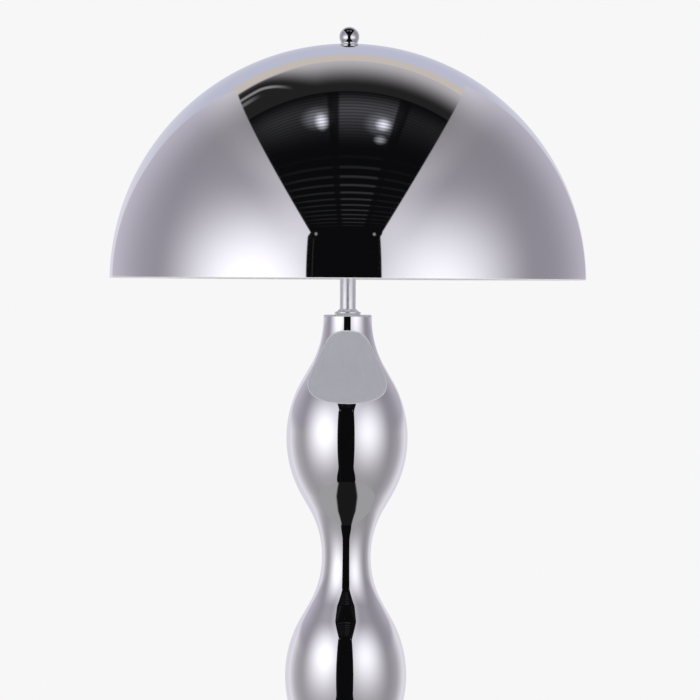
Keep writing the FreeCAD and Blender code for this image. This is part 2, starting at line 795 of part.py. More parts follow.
def make_holders():
    nipples = []
    tongues = []
    leads = []
    contact_top = D.HubFlat + D.BulbSeat - D.SwivelGap
    for index in range(HOLDERS):
        number = index + 1
        for make, label in ((holder_cap, "holder_cap"), (holder_skirt, "holder_skirt"),
                            (holder_core, "holder_core"), (holder_thread, "holder_thread"),
                            (bulb_glass, "bulb_glass"), (bulb_cap, "bulb_cap"),
                            (bulb_tip, "bulb_tip")):
            node(aim(make(f"{label}_{number}_body"), index), f"{label}_{number}")
        nipple = ring(f"HolderNipple_{number}", D.ThreadBore, D.ThreadRadius,
                      D.HubFlat - D.HubNipple, D.HubFlat + D.HolderNeckHeight + D.ThreadStand)
        nipples.append(aim(nipple, index))
        tongue = disc(f"ContactTongue_{number}", D.TipRadius, D.HubFlat + D.CoreTop, contact_top)
        tongues.append(aim(tongue, index))
        for side, across in (("a", -D.HolderLeadSpread), ("b", D.HolderLeadSpread)):
            leads.append(holder_lead(f"HolderLead_{number}{side}", across, index))
    node(group("HolderNipples", nipples), "holder_nipples")
    node(group("ContactTongues", tongues), "contact_tongues")
    node(group("HolderLeads", leads), "holder_leads")


def holder_lead(name, across, index):
    """Straight insulated wire beside a lampholder's axis, from the splice to the ceramic block."""
    body = doc.addObject("PartDesign::Body", name)
    sketch = new_sketch(body, "XY_Plane", f"{name}_section")
    draw_circle(sketch, 0, across, D.HolderLeadRadius)
    bind(sketch, AttachmentOffset_Base_z=D.HolderLeadStart)
    wire = body.newObject("PartDesign::Pad", f"{name}_wire")
    wire.Profile = sketch
    end = D.HubFlat + D.HolderCapHeight - D.CoreDepth
    bind(wire, Length=end - D.HolderLeadStart)
    return aim(body, index)


def make_inner_leads():
    """Two insulated wires from the terminal block, round one bend and up the tubes to the splice."""
    bend = D.LeadBend
    level = base_thread_end - bend
    leads = []
    for side, across in (("left", -D.LeadSpread), ("right", D.LeadSpread)):
        flat = cylinder(f"InnerLead_{side}_flat", D.LeadRadius, D.BlockDistance - bend)
        flat.Placement.Rotation = FreeCAD.Rotation(FreeCAD.Vector(1, 0, 0), -90)
        bind(flat, Placement_Base_x=across, Placement_Base_y=bend, Placement_Base_z=level)
        elbow = doc.addObject("Part::Torus", f"InnerLead_{side}_bend")
        elbow.Angle3 = 90
        elbow.Placement.Rotation = FreeCAD.Rotation(
            FreeCAD.Vector(0, -1, 0), FreeCAD.Vector(0, 0, -1), FreeCAD.Vector(1, 0, 0), "ZXY")
        bind(elbow, Radius1=bend, Radius2=D.LeadRadius, Placement_Base_x=across,
             Placement_Base_y=bend, Placement_Base_z=level + bend)
        riser = cylinder(f"InnerLead_{side}_riser", D.LeadRadius, splice_foot - base_thread_end)
        bind(riser, Placement_Base_x=across, Placement_Base_z=level + bend)
        leads.append(fused(f"InnerLead_{side}", [flat, elbow, riser]))
    node(group("InnerLeads", leads), "inner_leads")


# ---------------------------------------------------------------- shade and finial

def make_stem():
    """Threaded stem from the hub to the finial, and what it carries under the shade."""
    stem_top = finial_bottom + D.FinialBore - D.FinialBoreGap
    node(ring("Stem", D.ThreadBore, D.ThreadRadius, hub_top - D.PlugHeight, stem_top), "stem")
    locknut_top = hub_top + D.ThinNut
    node(hex_nut("StemLocknut", D.NutAcross, thread_hole, hub_top, D.ThinNut), "stem_locknut")
    nut_bottom = seat_bottom - D.ShadeNutHeight
    node(ring("StemSleeve", thread_hole, rod_bore, locknut_top, nut_bottom), "stem_sleeve")
    node(hex_nut("ShadeNut", D.NutAcross, thread_hole, nut_bottom, D.ShadeNutHeight), "shade_nut")
    node(turned("ShadeSeat", [
        (thread_hole, seat_bottom), (D.SeatRadius, seat_bottom),
        (D.SeatRadius, dome_centre + reach(seat_radius, D.SeatRadius)), Arc(seat_radius, 1),
        (thread_hole, dome_centre + reach(seat_radius, thread_hole)),
    ]), "shade_seat")


def make_shade():
    """Spun half-sphere with a rolled hem inside its rim and a hole for the stem at its top."""
    outer = D.ShadeRadius
    inner = outer - D.ShadeWall
    hem = D.HemRadius
    bead = D.ShadeTrim + hem
    fold = bead + hem
    outside = reach(outer, bead)
    node(turned("ShadeShell", [
        (swivel_hole, dome_centre + reach(inner, swivel_hole)), Arc(inner, -1),
        (reach(inner, fold), dome_centre + fold), Arc(hem, 1),
        (outside - hem * 2, dome_centre + bead), Arc(hem, 1),
        (outside - hem, rim_height), Arc(hem, 1),
        (outside, dome_centre + bead), Arc(outer, 1),
        (swivel_hole, dome_centre + reach(outer, swivel_hole)),
    ]), "shade_shell")


def make_finial():
    """Ball nut and the washer below it that clamp the shade onto its seat."""
    node(ring("FinialWasher", running_hole, D.FinialWasherRadius, washer_bottom, finial_bottom),
         "finial_washer")
    centre = finial_bottom + D.FinialFlat
    bore_top = finial_bottom + D.FinialBore
    flat = reach(D.FinialRadius, D.FinialFlat)
    node(turned("Finial", [
        (running_hole, finial_bottom), (flat, finial_bottom), Arc(D.FinialRadius, 1),
        (D.FinialRadius, centre), Arc(D.FinialRadius, 1), (0, centre + D.FinialRadius),
        (0, bore_top), (running_hole, bore_top),
    ]), "finial")


make_foot_pad()
make_base_weight()
make_base_cover()
make_gland()
make_terminal_block()
make_terminal_cover()
make_foot()
make_column()
make_tubes()
make_neck()
make_hub()
make_holders()
make_inner_leads()
make_stem()
make_shade()
make_finial()
doc.recompute()

for item in doc.Objects:
    if {"Invalid", "Error"} & set(item.State):
        raise SystemExit(f"{item.Name} failed: {item.State}")
for piece in nodes:
    if piece.Shape.isNull() or not piece.Shape.isValid() or not piece.Shape.Solids:
        raise SystemExit(f"{piece.Label} has no valid solid")

os.makedirs("parts", exist_ok=True)
for piece in nodes:
    piece.Shape.exportStep(f"parts/{piece.Label}.step")
print(len(nodes), "nodes,", sum(len(piece.Shape.Solids) for piece in nodes), "solids")
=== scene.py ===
"""Looks of the mushroom floor lamp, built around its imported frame.

Metres, +Z up, the lamp's axis on Z, the photograph's side at -Y.  Every polished piece is a
surface of revolution worked out on a fine grid, so that its mirror finish stays clean.
"""

import json
import math

import bmesh
import bpy
import numpy as np
from mathutils import Matrix, Vector


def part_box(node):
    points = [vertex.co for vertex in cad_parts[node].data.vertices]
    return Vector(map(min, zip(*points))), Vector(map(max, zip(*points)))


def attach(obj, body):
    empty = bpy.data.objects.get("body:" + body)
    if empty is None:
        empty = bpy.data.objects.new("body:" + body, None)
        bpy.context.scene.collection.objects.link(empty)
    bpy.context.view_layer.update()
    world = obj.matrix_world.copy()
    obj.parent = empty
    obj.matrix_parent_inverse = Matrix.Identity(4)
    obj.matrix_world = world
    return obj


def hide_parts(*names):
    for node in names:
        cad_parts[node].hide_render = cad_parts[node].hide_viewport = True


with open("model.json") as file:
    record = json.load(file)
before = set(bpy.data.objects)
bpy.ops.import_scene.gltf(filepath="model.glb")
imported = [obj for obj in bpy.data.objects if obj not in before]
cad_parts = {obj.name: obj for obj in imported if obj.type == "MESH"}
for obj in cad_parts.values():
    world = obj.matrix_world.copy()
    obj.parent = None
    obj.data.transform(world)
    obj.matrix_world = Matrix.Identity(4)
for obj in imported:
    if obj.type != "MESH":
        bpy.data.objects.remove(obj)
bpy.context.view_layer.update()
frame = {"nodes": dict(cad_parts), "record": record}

# ---------------------------------------------------------------- sizes

FULL_TURN = 2 * math.pi
DEGREES = 180 / math.pi

WALL = 0.0012               # spun metal of the shade, the column and the base
THREAD_HOLE = 0.00505
SWIVEL_HOLE = 0.0053
SPIGOT_RADIUS = 0.02305
SPIGOT_DEPTH = 0.005

SHADE_TRIM = 0.003          # rim above the sphere's centre
HEM_RADIUS = 0.0008         # thinner than the solid's hem, as the rim looks
LIP = 0.005                 # painted highlight: a band of whiter paint inside the rim, standing in for light falling on the edge

WAIST_RADIUS = 0.0243
BUBBLE_CURVE = 0.115
BUBBLE_SLOPE = math.radians(30)
LOWER_BUBBLES = 3
UPPER_BUBBLES = 2
COLUMN_END = 0.006
NECK_END = 0.001

NECK_EDGE = 0.002
ROD_WALL = 0.0015
COLLAR_FOOT = 0.0124
COLLAR_EDGE = 0.0026
COLLAR_FLARE = 0.007
COLLAR_LIP = 0.00865
ROD_SOCKET = 0.00805

FINIAL_FLAT = 0.0055
FINIAL_BORE = 0.010
FINIAL_HOLE = 0.00508

BASE_CROWN = 0.002
BASE_SHOULDER = 0.005
BASE_FLAT = 0.034
FOOT_EDGE = 0.001

HOLDERS = 3
HOLDER_TILT = 45
HOLDER_TURN = 90
AIM_ABOVE_RIM = 0.063       # the lampholders' axes meet here
HOLDER_RADIUS = 0.014
HOLDER_BORE = 0.0125
SKIRT_FOOT = 0.041
SKIRT_TOP = 0.076
BEAD = 0.0006
BEAD_RISES = (0.006, 0.0085, 0.011)
BULB_SEAT = 0.051
GLOBE_RADIUS = 0.0225
GLOBE_CENTRE = 0.1065
GLASS_WALL = 0.0008
GLASS_NECK = 0.0063
GLASS_SHOULDER = 0.0085
GLASS_CURVE = 0.014
GLASS_NECK_TOP = 0.0275
GLASS_PLAY = 0.00005        # keeps the glass clear of its cap
SHOULDER_RISE = 0.0005
GLOBE_JOIN = math.radians(40)
CAP_ROOT = 0.00625
CAP_CREST = 0.00695
CAP_PITCH = 0.00282
CAP_COLLAR = 0.022
CAP_TOP = 0.0245
CAP_SIDE = (0.0055, 0.0205)
THREAD_START = 0.0065
THREAD_RUN = 0.0125
THREAD_ENDING = 0.001
RIDGE_HALF = 0.36           # half width of the screw ridge, in turns
TIP_RADIUS = 0.0026
TIP_HEIGHT = 0.0015

CAMERA_DISTANCE = 4.5
CAMERA_BELOW_RIM = 0.015
CAMERA_ROLL = 0.0058        # the photograph leans a third of a degree
PICTURE_WIDTH = 0.7         # width seen at the lamp's axis
PICTURE_ASIDE = 0.0025
PICTURE_BELOW_RIM = 0.0709
SENSOR = 0.036

BACKGROUND = 0.930
WORLD_LIGHT = 0.8
STUDIO_RADIUS = 1.1         # the surroundings stand this far round the axis
STUDIO_FOOT = 0.001
STAGE_THICKNESS = 0.01
FLOOR_RADIUS = 4.2
FLOOR_FADE = (1.5, 4.0)     # the floor thins out to clear between these radii
FLOOR_GAP = (0.46, 0.37)    # edge of the dark strip that the metal sees in front

CHROME = (0.93, 0.93, 0.945, 1.0)
MIRROR = 0.02               # roughness of buffed and of drawn metal
DRAWN = 0.20
SPIN_RIDGE = 2e-7
COOL = (0.985, 0.985, 1.04)

# The studio is laid out by direction: turn and rise in degrees, aside as x / z, along as y / z.
SLIT_HALF = 0.285           # gap between the panels at the front, narrow below and wide above
SLIT_SPREAD = 0.14
WEDGE_SLOPE = 0.6223
WEDGE_FORWARD = 0.041
GAP_EDGE = 0.005
REAR_OPEN = 145.0           # the panels end this far round from the front
PANEL_SPOT = 42.0           # and are brightest here, on both sides
SPOT_REACH = 54.0
CEILING_BACK = 0.069        # where the ceiling, the slope and the band give way to what is behind
SLOPE_TOP = 0.62
BAND_TOP = 0.835
BEAM_LEFT = -0.085
BEAM_RIGHT = 0.318
RIB = 0.035
SLAT = 0.145
GLINT_TURN = 12.8
GLINT_RISE = 19.9


# ---------------------------------------------------------------- shader expressions

class Signal:
    """An output socket of a node tree; arithmetic on it adds the Math nodes that work it out."""

    def __init__(self, tree, socket):
        self.tree = tree
        self.socket = socket

    def math(self, operation, *others):
        values = dict(enumerate((self, *others)))
        return self.tree.add("Math", {"operation": operation}, values)

    def __add__(self, other):
        return self.math("ADD", other)

    def __mul__(self, other):
        return self.math("MULTIPLY", other)

    def __sub__(self, other):
        return self.math("SUBTRACT", other)

    def __rsub__(self, other):
        return self.tree.add("Math", {"operation": "SUBTRACT"}, {0: other, 1: self})

    def __truediv__(self, other):
        return self.math("DIVIDE", other)

    def __neg__(self):
        return self * -1

    def __abs__(self):
        return self.math("ABSOLUTE")

    __radd__ = __add__
    __rmul__ = __mul__

    def fade(self, low, high):
        """0 below low and 1 above high, smooth between them; the other way round if low > high."""
        return self.tree.add("MapRange", {"interpolation_type": "SMOOTHSTEP"},
                             {"Value": self, "From Min": low, "From Max": high})

    def other(self, name):
        """Another output of the same node."""
        return Signal(self.tree, self.socket.node.outputs[name])


class Tree:
    """The node tree of a material or of the world."""

    def __init__(self, owner):
        owner.use_nodes = True
        self.owner = owner
        self.nodes = owner.node_tree.nodes
        self.links = owner.node_tree.links
        self.nodes.clear()

    def add(self, kind, settings=None, sockets=None, output=0):
        """Add a node: its settings, then a value or a link for each named or numbered socket."""
        made = self.nodes.new("ShaderNode" + kind)
        for name, value in (settings or {}).items():
            setattr(made, name, value)
        for name, value in (sockets or {}).items():
            if isinstance(value, Signal):
                self.links.new(value.socket, made.inputs[name])
            else:
                made.inputs[name].default_value = value
        return Signal(self, made.outputs[output]) if len(made.outputs) else made

    def place(self):
        """The object's own coordinates, as x, y and z."""
        return self.parts(self.add("TexCoord", output="Object"))

    def parts(self, vector):
        x = self.add("SeparateXYZ", None, {0: vector})
        return x, x.other("Y"), x.other("Z")

    def mix(self, share, first, second):
        """Colour that is the first at share 0 and the second at share 1."""
        return self.add("Mix", {"data_type": "RGBA"}, {0: share, 6: first, 7: second}, output=2)

    def shine(self, light, tint, more=(0.0, 0.0, 0.0, 1.0)):
        """A colour, and this much light of the tint on top of it."""
        return self.add("Mix", {"data_type": "RGBA", "blend_type": "ADD"},
                        {0: light, 6: more, 7: tint}, output=2)

    def blend(self, share, first, second):
        return self.add("MixShader", None, {0: share, 1: first, 2: second})

    def finish(self, surface):
        kind = "OutputWorld" if isinstance(self.owner, bpy.types.World) else "OutputMaterial"
        self.add(kind, None, {"Surface": surface})
        return self.owner


def greatest(first, second):
    return first.math("MAXIMUM", second)


def length(*parts):
    """Length of the vector with these parts."""
    squares = [part * part for part in parts]
    return sum(squares[1:], squares[0]).math("SQRT")


def ripple(signal, period):
    """Wave between 0 and 1 along the signal."""
    return (signal * (FULL_TURN / period)).math("SINE") * 0.5 + 0.5


def material(name):
    return Tree(bpy.data.materials.new(name))


def grey(value, tint=(1.0, 1.0, 1.0)):
    return (value * tint[0], value * tint[1], value * tint[2], 1.0)


# ---------------------------------------------------------------- materials

def polished(tree, colour, roughness, ridge):
    """Bright plated metal: faint spinning rings about the axis and slight wear in its gloss."""
    x, y, z = tree.place()
    around = length(x, y)
    rings = tree.add("TexNoise", {"noise_dimensions": "1D"},
                     {"W": (z - around * 0.7) * 420.0, "Detail": 3.0, "Roughness": 0.6})
    cloud = tree.add("TexNoise", None, {"Scale": 9.0, "Detail": 3.0})
    bump = tree.add("Bump", None, {"Strength": 1.0, "Distance": ridge, "Height": rings})
    return tree.add("BsdfPrincipled", None, {
        "Base Color": colour, "Metallic": 1.0, "Roughness": roughness + cloud * roughness,
        "Normal": bump})


def chrome(name, roughness):
    tree = material(name)
    return tree.finish(polished(tree, CHROME, roughness, SPIN_RIDGE))


def shade_finish(centre, radius, rim):
    """Chrome outside, matt paint inside the sphere and round the lower side of the hem."""
    tree = material("shade_chrome_and_paint")
    metal = polished(tree, CHROME, MIRROR, SPIN_RIDGE)
    x, y, z = tree.place()
    depth = length(x, y, z - centre)
    inside = depth.fade(radius - WALL * 0.5, radius - WALL * 0.6)
    underside = z.fade(rim + HEM_RADIUS * 0.85, rim + HEM_RADIUS * 0.75)
    peel = tree.add("TexNoise", None, {"Scale": 900.0, "Detail": 2.0})
    bump = tree.add("Bump", None, {"Strength": 0.4, "Distance": 2e-4, "Height": peel})
    cloud = tree.add("TexNoise", None, {"Scale": 14.0, "Detail": 4.0})
    coat = tree.mix(cloud, grey(0.72, COOL), grey(0.80, COOL))
    paint = tree.add("BsdfPrincipled", None, {
        # painted highlight: the paint turns whiter in the band just inside the rim, standing in for
        # light on that edge
        "Base Color": tree.mix(z.fade(rim + LIP, rim + LIP * 0.8), coat, grey(0.97)),
        "Roughness": 0.5 + cloud * 0.1, "Normal": bump})
    return tree.finish(tree.blend(greatest(inside, underside), metal, paint))


def plain(name, colour, roughness, metallic=0.0, grain=0.0, scale=400.0, spread=0.06, coat=0.0):
    """A finish with fine grain in its height and a little cloudiness in its colour."""
    tree = material(name)
    cloud = tree.add("TexNoise", None, {"Scale": 18.0, "Detail": 4.0})
    tint = tree.mix(cloud, tuple(part * (1 - spread) for part in colour) + (1.0,),
                    tuple(min(part * (1 + spread), 1.0) for part in colour) + (1.0,))
    sockets = {"Base Color": tint, "Roughness": roughness + (cloud - 0.5) * 0.12,
               "Metallic": metallic, "Coat Weight": coat}
    if grain:
        dots = tree.add("TexNoise", None, {"Scale": scale, "Detail": 3.0})
        sockets["Normal"] = tree.add("Bump", None, {
            "Strength": 1.0, "Distance": grain, "Height": dots})
    return tree.finish(tree.add("BsdfPrincipled", None, sockets))


# ---------------------------------------------------------------- meshes

def build(name, points, faces, finish, stand=None, smooth_below=35.0):
    """Mesh object from points and faces, welded, smooth except across edges over the angle."""
    mesh = bpy.data.meshes.new(name)
    mesh.from_pydata(points.reshape(-1, 3), [], faces.tolist())
    work = bmesh.new()
    work.from_mesh(mesh)
    bmesh.ops.remove_doubles(work, verts=work.verts, dist=1e-7)
    work.to_mesh(mesh)
    work.free()
    if stand:
        mesh.transform(stand)
    mesh.validate()
    mesh.shade_smooth()
    mesh.set_sharp_from_angle(angle=math.radians(smooth_below))
    mesh.materials.append(finish)
    piece = bpy.data.objects.new(name, mesh)
    bpy.context.scene.collection.objects.link(piece)
    return piece


class Bend:
    """An arc between two points of an outline; its centre is on the left if side is 1."""

    def __init__(self, radius, side, steps=12):
        self.radius = radius
        self.side = side
        self.steps = steps

    def between(self, start, end):
        """Points on the way: the centre plus the radius at evenly spaced angles."""
        start, end = np.array(start), np.array(end)
        chord = end - start
        left = np.array([-chord[1], chord[0]]) / np.linalg.norm(chord)
        depth = math.sqrt(max(self.radius ** 2 - chord @ chord / 4, 0))
        centre = (start + end) / 2 + left * depth * self.side
        first = math.atan2(*(start - centre)[::-1])
        last = math.atan2(*(end - centre)[::-1])
        sweep = (last - first + math.pi) % FULL_TURN - math.pi
        angle = first + sweep * np.linspace(0, 1, self.steps + 1)[1:-1]
        return centre + self.radius * np.stack([np.cos(angle), np.sin(angle)], 1)


def trace(items):
    """Points of a closed outline given as (radius, height) points with a Bend between some."""
    rows = []
    for index, item in enumerate(items):
        if isinstance(item, Bend):
            rows.append(item.between(items[index - 1], items[(index + 1) % len(items)]))
        else:
            rows.append([item])
    return np.concatenate(rows)


def backwards(items):
    """The same outline walked the other way."""
    return [Bend(item.radius, -item.side, item.steps) if isinstance(item, Bend) else item
            for item in reversed(items)]


def reach(radius, offset):
    """How far a circle of this radius reaches beside its centre line, at an offset along it."""
    return math.sqrt(radius * radius - offset * offset)


def lathe(name, outline, finish, segments=192, stand=None, relief=None):
    """Closed (radius, height) outline turned about Z: (r, z) at turn t is (r cos t, r sin t, z).

    The outline runs anticlockwise, up the outer side, so that faces point outwards.  The relief,
    if there is one, is added to the radius as a function of radius, height and turn.
    """
    outline = np.asarray(outline, float)
    count = len(outline)
    turn = np.arange(segments) * FULL_TURN / segments
    radius = np.repeat(outline[:, :1], segments, 1)
    height = np.repeat(outline[:, 1:], segments, 1)
    if relief:
        radius = radius + relief(radius, height, turn)
    points = np.stack([radius * np.cos(turn), radius * np.sin(turn), height], 2)
    row, step = np.indices((count, segments))
    above = (row + 1) % count * segments
    below = row * segments
    following = (step + 1) % segments
    faces = np.stack([below + step, below + following, above + following, above + step], 2)
    on_axis = outline[:, 0] < 1e-9
    return build(name, points, faces[~(on_axis & np.roll(on_axis, -1))].reshape(-1, 4), finish,
                 stand)


def dress(piece, node):
    """Let a new piece stand for the CAD node of the same part."""
    body = next(name for name, members in frame["record"]["behaviour"]["bodies"].items()
                if node in members)
    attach(piece, body)
    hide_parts(node)
    return piece


def turn_metal(node, items, segments=192, finish=None):
    """A polished piece from its outline, in place of the CAD node."""
    piece = lathe(f"{node}_skin", trace(items), finish or metal, segments)
    return dress(piece, node)


# ---------------------------------------------------------------- shade and finial

def make_shade():
    low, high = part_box("shade_shell")
    rim = low.z
    centre = rim - SHADE_TRIM
    bead = SHADE_TRIM + HEM_RADIUS
    outer = math.hypot(high.x, bead)
    inner = outer - WALL
    fold = bead + HEM_RADIUS
    items = [
        (high.x, centre + bead), Bend(outer, 1, 160),
        (SWIVEL_HOLE, centre + reach(outer, SWIVEL_HOLE)),
        (SWIVEL_HOLE, centre + reach(inner, SWIVEL_HOLE)), Bend(inner, -1, 80),
        (reach(inner, fold), centre + fold), Bend(HEM_RADIUS, 1, 6),
        (high.x - HEM_RADIUS * 2, centre + bead), Bend(HEM_RADIUS, 1, 6),
        (high.x - HEM_RADIUS, rim), Bend(HEM_RADIUS, 1, 6),
    ]
    piece = lathe("shade_dome", trace(items), shade_finish(centre, outer, rim), 320)
    dress(piece, "shade_shell")


def make_finial():
    low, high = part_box("finial")
    radius = high.z - low.z - FINIAL_FLAT
    centre = low.z + FINIAL_FLAT
    bore_top = low.z + FINIAL_BORE
    turn_metal("finial", [
        (FINIAL_HOLE, low.z), (reach(radius, FINIAL_FLAT), low.z), Bend(radius, 1, 24),
        (radius, centre), Bend(radius, 1, 40), (0.0, high.z), (0.0, bore_top),
        (FINIAL_HOLE, bore_top),
    ])
    low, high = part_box("finial_washer")
    turn_metal("finial_washer", [
        (FINIAL_HOLE, low.z), (high.x, low.z), (high.x, high.z), (FINIAL_HOLE, high.z),
    ])


# ---------------------------------------------------------------- column, neck and rod

def bubble_side(start, count, pitch, widest, wall, steps):
    """Way up one side of a run of bubbles, the wall's thickness inside their outer face.

    A hollow arc leads from each waist to a short straight cone, and a bulging arc leads on.
    """
    across, along = math.sin(BUBBLE_SLOPE), math.cos(BUBBLE_SLOPE)
    depth = widest - WAIST_RADIUS
    hollow = (pitch / 2 * across - depth * along) / (1 - along) - BUBBLE_CURVE
    flank = ((WAIST_RADIUS + hollow * (1 - along) - wall * along, (hollow + wall) * across),
             (widest - BUBBLE_CURVE * (1 - along) - wall * along,
              pitch / 2 - (BUBBLE_CURVE - wall) * across))
    waist_bend = Bend(hollow + wall, -1, steps)
    bulge_bend = Bend(BUBBLE_CURVE - wall, 1, steps)
    way = [(WAIST_RADIUS - wall, start)]
    for waist in start + pitch * np.arange(count):
        up = [(radius, waist + rise) for radius, rise in flank]
        down = [(radius, waist + pitch - rise) for radius, rise in reversed(flank)]
        way += [waist_bend, *up, bulge_bend, (widest - wall, waist + pitch / 2), bulge_bend,
                *down, waist_bend, (WAIST_RADIUS - wall, waist + pitch)]
    return way


def make_column():
    for node, count, foot, head in (("lower_column", LOWER_BUBBLES, COLUMN_END, 0.0),
                                    ("upper_column", UPPER_BUBBLES, 0.0, NECK_END)):
        low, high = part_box(node)
        start = low.z + foot
        pitch = (high.z - head - start) / count
        outside = bubble_side(start, count, pitch, high.x, 0.0, 28)
        inside = bubble_side(start, count, pitch, high.x, WALL, 10)
        if foot:
            outside.insert(0, (WAIST_RADIUS, low.z))
            inside.insert(0, (WAIST_RADIUS - WALL, low.z))
        if head:
            outside.append((WAIST_RADIUS, high.z))
            inside.append((WAIST_RADIUS - WALL, high.z))
        turn_metal(node, outside + backwards(inside))


def make_neck():
    low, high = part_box("neck_cap")
    seam = low.z + SPIGOT_DEPTH
    turn_metal("neck_cap", [
        (THREAD_HOLE, low.z), (SPIGOT_RADIUS, low.z), (SPIGOT_RADIUS, seam), (high.x, seam),
        (high.x, high.z - NECK_EDGE), Bend(NECK_EDGE, 1), (high.x - NECK_EDGE, high.z),
        (THREAD_HOLE, high.z),
    ])
    low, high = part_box("rod_collar")
    turn_metal("rod_collar", [
        (ROD_SOCKET, low.z), (COLLAR_FOOT, low.z), Bend(COLLAR_EDGE * 1.1, 1),
        (high.x, low.z + COLLAR_EDGE),
        Bend(COLLAR_FLARE, -1, 16), (COLLAR_LIP, high.z), (ROD_SOCKET, high.z),
    ])
    low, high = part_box("rod")
    bore = high.x - ROD_WALL
    turn_metal("rod", [(bore, low.z), (high.x, low.z), (high.x, high.z), (bore, high.z)],
               finish=drawn_metal)


def make_base():
    low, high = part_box("base_cover")
    widest, top = high.x, high.z
    edge = top - BASE_CROWN
    run = widest - BASE_SHOULDER - BASE_FLAT
    crown = (run * run + BASE_CROWN * BASE_CROWN) / (BASE_CROWN * 2)
    turn_metal("base_cover", [
        (THREAD_HOLE, top - WALL), (BASE_FLAT, top - WALL), Bend(crown - WALL, -1, 24),
        (widest - BASE_SHOULDER, edge - WALL), Bend(BASE_SHOULDER - WALL, -1),
        (widest - WALL, edge - BASE_SHOULDER), (widest - WALL, low.z), (widest, low.z),
        (widest, edge - BASE_SHOULDER), Bend(BASE_SHOULDER, 1, 16),
        (widest - BASE_SHOULDER, edge), Bend(crown, 1, 48), (BASE_FLAT, top),
        (THREAD_HOLE, top),
    ], 256)
    low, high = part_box("foot_ring")
    top = high.z - SPIGOT_DEPTH
    turn_metal("foot_ring", [
        (THREAD_HOLE, low.z), (high.x, low.z), (high.x, top - FOOT_EDGE), Bend(FOOT_EDGE, 1),
        (high.x - FOOT_EDGE, top), (SPIGOT_RADIUS, top), (SPIGOT_RADIUS, high.z),
        (THREAD_HOLE, high.z),
    ])


# ---------------------------------------------------------------- lampholders and bulbs

def toward_holder(index):
    """Stands a piece made along Z where the lampholders' axes meet, leaning out to one of them."""
    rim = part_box("shade_shell")[0].z
    turn = math.radians(HOLDER_TURN + 360 / HOLDERS * index)
    lean = Matrix.Rotation(math.radians(HOLDER_TILT), 4, "Y")
    return (Matrix.Translation((0, 0, rim + AIM_ABOVE_RIM)) @ Matrix.Rotation(turn, 4, "Z")
            @ lean)


def skirt_outline():
    """Sleeve round the socket with three rolled beads and a turned-over mouth."""
    outline = [(HOLDER_BORE, SKIRT_FOOT), (HOLDER_RADIUS - BEAD, SKIRT_FOOT)]
    for height in SKIRT_FOOT + np.array(BEAD_RISES):
        outline += [(HOLDER_RADIUS - BEAD, height - BEAD), Bend(BEAD, 1, 8),
                    (HOLDER_RADIUS - BEAD, height + BEAD)]
    lip = (HOLDER_RADIUS - HOLDER_BORE) / 2
    return trace(outline + [
        (HOLDER_RADIUS - BEAD, SKIRT_TOP - lip * 3), (HOLDER_RADIUS, SKIRT_TOP - lip * 2),
        (HOLDER_RADIUS, SKIRT_TOP - lip), Bend(lip, 1, 10), (HOLDER_BORE, SKIRT_TOP - lip),
    ])


def glass_outline():
    seat = BULB_SEAT
    inner = GLOBE_RADIUS - GLASS_WALL
    across, along = math.sin(GLOBE_JOIN), math.cos(GLOBE_JOIN)
    neck = GLASS_NECK - GLASS_PLAY
    shoulder = BULB_SEAT + GLASS_NECK_TOP + SHOULDER_RISE
    return trace([
        (neck - GLASS_WALL, seat + CAP_COLLAR), (neck, seat + CAP_COLLAR),
        (neck, seat + CAP_TOP), (GLASS_SHOULDER, shoulder), Bend(GLASS_CURVE, -1, 16),
        (GLOBE_RADIUS * across, GLOBE_CENTRE - GLOBE_RADIUS * along), Bend(GLOBE_RADIUS, 1, 28),
        (GLOBE_RADIUS, GLOBE_CENTRE), Bend(GLOBE_RADIUS, 1, 40),
        (0.0, GLOBE_CENTRE + GLOBE_RADIUS), (0.0, GLOBE_CENTRE + inner), Bend(inner, -1, 24),
        (inner, GLOBE_CENTRE), Bend(inner, -1, 16),
        (inner * across, GLOBE_CENTRE - inner * along), Bend(GLASS_CURVE + GLASS_WALL, 1, 8),
        (GLASS_SHOULDER - GLASS_WALL, shoulder), (neck - GLASS_WALL, seat + CAP_TOP),
    ])


def cap_outline():
    """Screw cap without its thread, which the relief adds."""
    side = [(CAP_ROOT, height) for height in BULB_SEAT + np.linspace(*CAP_SIDE, 121)]
    return trace([
        (0.0, BULB_SEAT + TIP_HEIGHT), (TIP_RADIUS, BULB_SEAT + TIP_HEIGHT), *side,
        (CAP_CREST, BULB_SEAT + CAP_COLLAR), (CAP_CREST, BULB_SEAT + CAP_TOP),
        (GLASS_NECK, BULB_SEAT + CAP_TOP), (GLASS_NECK, BULB_SEAT + CAP_COLLAR),
        (0.0, BULB_SEAT + CAP_COLLAR),
    ])


def rolled_thread(radius, height, turn):
    """Screw ridge: it stands out by 1 - (s / w)^2, s turns from the helix and w half as wide."""
    climb = height - BULB_SEAT - THREAD_START
    from_helix = (climb / CAP_PITCH - turn / FULL_TURN) % 1.0 - 0.5
    ridge = np.clip(1 - (from_helix / RIDGE_HALF) ** 2, 0, 1)
    ends = (np.clip(climb / THREAD_ENDING, 0, 1)
            * np.clip((THREAD_RUN - climb) / THREAD_ENDING, 0, 1))
    on_side = np.abs(radius - CAP_ROOT) < 1e-6
    return (CAP_CREST - CAP_ROOT) * ridge * ends * on_side


def make_bulbs():
    for index in range(HOLDERS):
        number = index + 1
        stand = toward_holder(index)
        for kind, outline, slot, relief in (
                ("holder_skirt", skirt_outline(), "white_steel", None),
                ("bulb_glass", glass_outline(), "opal_glass", None),
                ("bulb_cap", cap_outline(), "socket_shell", rolled_thread)):
            piece = lathe(f"{kind}_{number}_skin", outline, finishes[slot], 96, stand, relief)
            dress(piece, f"{kind}_{number}")


# ---------------------------------------------------------------- surroundings

